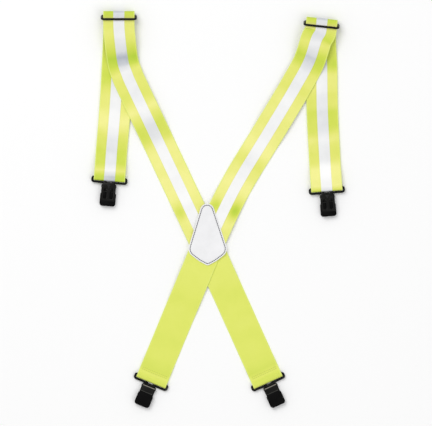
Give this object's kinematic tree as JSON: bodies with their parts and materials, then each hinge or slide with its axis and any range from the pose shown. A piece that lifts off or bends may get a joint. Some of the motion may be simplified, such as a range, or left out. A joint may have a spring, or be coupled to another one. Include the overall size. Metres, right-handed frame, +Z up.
{
  "type": "work suspenders",
  "caption": "X-back work suspenders in lime webbing with reflective tape, laid flat, with swinging waistband clips, opening levers and sliding length adjusters.",
  "frame": {"origin": "middle of the laid-out outline, on the table that the suspenders lie on", "axes": "+Y up the back from the rear clips to the shoulder folds, +X to the right seen from above, +Z up from the table, with the outer face of the back facing +Z"},
  "size_m": [0.411, 0.643, 0.0205],
  "materials": {
    "leather_white": "smooth split leather with a fine grain",
    "leather_under": "smooth split leather",
    "thread_grey": "twisted polyester thread",
    "thread_lime": "twisted polyester thread",
    "elastic_lime": "ribbed knitted elastic",
    "webbing_lime": "satin woven elastic webbing with a slight sheen",
    "tape_silver": "retroreflective tape",
    "wire_black": "gloss black coated wire",
    "plate_black": "black coated steel stamping",
    "pin_steel": "plain steel",
    "spring_steel": "black oxide spring steel",
    "pad_black": "satin moulded plastic"
  },
  "bodies": {
    "back": {"patch_outer": "leather_white", "patch_inner": "leather_under", "patch_stitching": "thread_grey", "elastic_left": "elastic_lime", "elastic_right": "elastic_lime", "hem_stitching_left": "thread_lime", "hem_stitching_right": "thread_lime", "webbing_back_left": "webbing_lime", "webbing_back_right": "webbing_lime", "tape_back_left": "tape_silver", "tape_back_right": "tape_silver"},
    "adjuster_left": {"adjuster_left": "wire_black", "webbing_fold_left": "webbing_lime", "tape_fold_left": "tape_silver", "webbing_outer_left": "webbing_lime", "tape_outer_left": "tape_silver", "webbing_inner_left": "webbing_lime", "tape_inner_left": "tape_silver", "end_stitching_left": "thread_lime"},
    "front_end_left": {"webbing_turn_left": "webbing_lime", "tape_turn_left": "tape_silver"},
    "adjuster_right": {"adjuster_right": "wire_black", "webbing_fold_right": "webbing_lime", "tape_fold_right": "tape_silver", "webbing_outer_right": "webbing_lime", "tape_outer_right": "tape_silver", "webbing_inner_right": "webbing_lime", "tape_inner_right": "tape_silver", "end_stitching_right": "thread_lime"},
    "front_end_right": {"webbing_turn_right": "webbing_lime", "tape_turn_right": "tape_silver"},
    "loop_rear_left": {"wire_loop_rear_left": "wire_black"},
    "clip_rear_left": {"base_plate_rear_left": "plate_black", "hinge_pin_rear_left": "pin_steel", "leaf_spring_rear_left": "spring_steel", "base_pad_rear_left": "pad_black"},
    "lever_rear_left": {"lever_rear_left": "plate_black", "lever_pad_rear_left": "pad_black"},
    "loop_rear_right": {"wire_loop_rear_right": "wire_black"},
    "clip_rear_right": {"base_plate_rear_right": "plate_black", "hinge_pin_rear_right": "pin_steel", "leaf_spring_rear_right": "spring_steel", "base_pad_rear_right": "pad_black"},
    "lever_rear_right": {"lever_rear_right": "plate_black", "lever_pad_rear_right": "pad_black"},
    "loop_front_left": {"wire_loop_front_left": "wire_black"},
    "clip_front_left": {"base_plate_front_left": "plate_black", "hinge_pin_front_left": "pin_steel", "leaf_spring_front_left": "spring_steel", "base_pad_front_left": "pad_black"},
    "lever_front_left": {"lever_front_left": "plate_black", "lever_pad_front_left": "pad_black"},
    "loop_front_right": {"wire_loop_front_right": "wire_black"},
    "clip_front_right": {"base_plate_front_right": "plate_black", "hinge_pin_front_right": "pin_steel", "leaf_spring_front_right": "spring_steel", "base_pad_front_right": "pad_black"},
    "lever_front_right": {"lever_front_right": "plate_black", "lever_pad_front_right": "pad_black"}
  },
  "joints": [
    {"name": "adjust_left", "type": "slide", "parent": "back", "child": "adjuster_left", "axis": [0, 1, 0], "range_m": [-0.04, 0.06], "deforming": ["webbing_back_left", "tape_back_left"]},
    {"name": "take_up_left", "type": "slide", "parent": "adjuster_left", "child": "front_end_left", "axis": [0.0854, 0.9963, 0], "range_m": [-0.021, 0.031], "deforming": ["webbing_outer_left", "tape_outer_left", "webbing_inner_left", "tape_inner_left"]},
    {"name": "adjust_right", "type": "slide", "parent": "back", "child": "adjuster_right", "axis": [0.108, 0.9942, 0], "range_m": [-0.04, 0.06], "deforming": ["webbing_back_right", "tape_back_right"]},
    {"name": "take_up_right", "type": "slide", "parent": "adjuster_right", "child": "front_end_right", "axis": [-0.075, 0.9972, 0], "range_m": [-0.021, 0.031], "deforming": ["webbing_outer_right", "tape_outer_right", "webbing_inner_right", "tape_inner_right"]},
    {"name": "loop_swing_rear_left", "type": "hinge", "parent": "back", "child": "loop_rear_left", "pos_m": [-0.10697, -0.275, 0.0031], "axis": [0.9239, -0.3827, 0], "range_deg": [-60, 60]},
    {"name": "clip_swing_rear_left", "type": "hinge", "parent": "loop_rear_left", "child": "clip_rear_left", "pos_m": [-0.11088, -0.28443, 0.0031], "axis": [0.9239, -0.3827, 0], "range_deg": [-80, 0]},
    {"name": "lever_open_rear_left", "type": "hinge", "parent": "clip_rear_left", "child": "lever_rear_left", "pos_m": [-0.11237, -0.28803, 0.0045], "axis": [-0.9239, 0.3827, 0], "range_deg": [0, 100]},
    {"name": "loop_swing_rear_right", "type": "hinge", "parent": "back", "child": "loop_rear_right", "pos_m": [0.07957, -0.27499, 0.0031], "axis": [0.9121, 0.4099, 0], "range_deg": [-60, 60]},
    {"name": "clip_swing_rear_right", "type": "hinge", "parent": "loop_rear_right", "child": "clip_rear_right", "pos_m": [0.08375, -0.28429, 0.0031], "axis": [0.9121, 0.4099, 0], "range_deg": [-80, 0]},
    {"name": "lever_open_rear_right", "type": "hinge", "parent": "clip_rear_right", "child": "lever_rear_right", "pos_m": [0.08535, -0.28785, 0.0045], "axis": [-0.9121, -0.4099, 0], "range_deg": [0, 100]},
    {"name": "loop_swing_front_left", "type": "hinge", "parent": "front_end_left", "child": "loop_front_left", "pos_m": [-0.1756, 0.0517, 0.005], "axis": [-0.9963, 0.0854, 0], "range_deg": [-60, 60]},
    {"name": "clip_swing_front_left", "type": "hinge", "parent": "loop_front_left", "child": "clip_front_left", "pos_m": [-0.17647, 0.04154, 0.005], "axis": [-0.9963, 0.0854, 0], "range_deg": [-80, 0]},
    {"name": "lever_open_front_left", "type": "hinge", "parent": "clip_front_left", "child": "lever_front_left", "pos_m": [-0.1768, 0.03765, 0.0036], "axis": [0.9963, -0.0854, 0], "range_deg": [0, 100]},
    {"name": "loop_swing_front_right", "type": "hinge", "parent": "front_end_right", "child": "loop_front_right", "pos_m": [0.176, 0.0351, 0.005], "axis": [-0.9972, -0.075, 0], "range_deg": [-60, 60]},
    {"name": "clip_swing_front_right", "type": "hinge", "parent": "loop_front_right", "child": "clip_front_right", "pos_m": [0.17677, 0.02493, 0.005], "axis": [-0.9972, -0.075, 0], "range_deg": [-80, 0]},
    {"name": "lever_open_front_right", "type": "hinge", "parent": "clip_front_right", "child": "lever_front_right", "pos_m": [0.17706, 0.02104, 0.0036], "axis": [0.9972, 0.075, 0], "range_deg": [0, 100]}
  ],
  "couplings": [
    {"joint": "take_up_left", "follows": "adjust_left", "ratio": 0.5},
    {"joint": "take_up_right", "follows": "adjust_right", "ratio": 0.5}
  ]
}
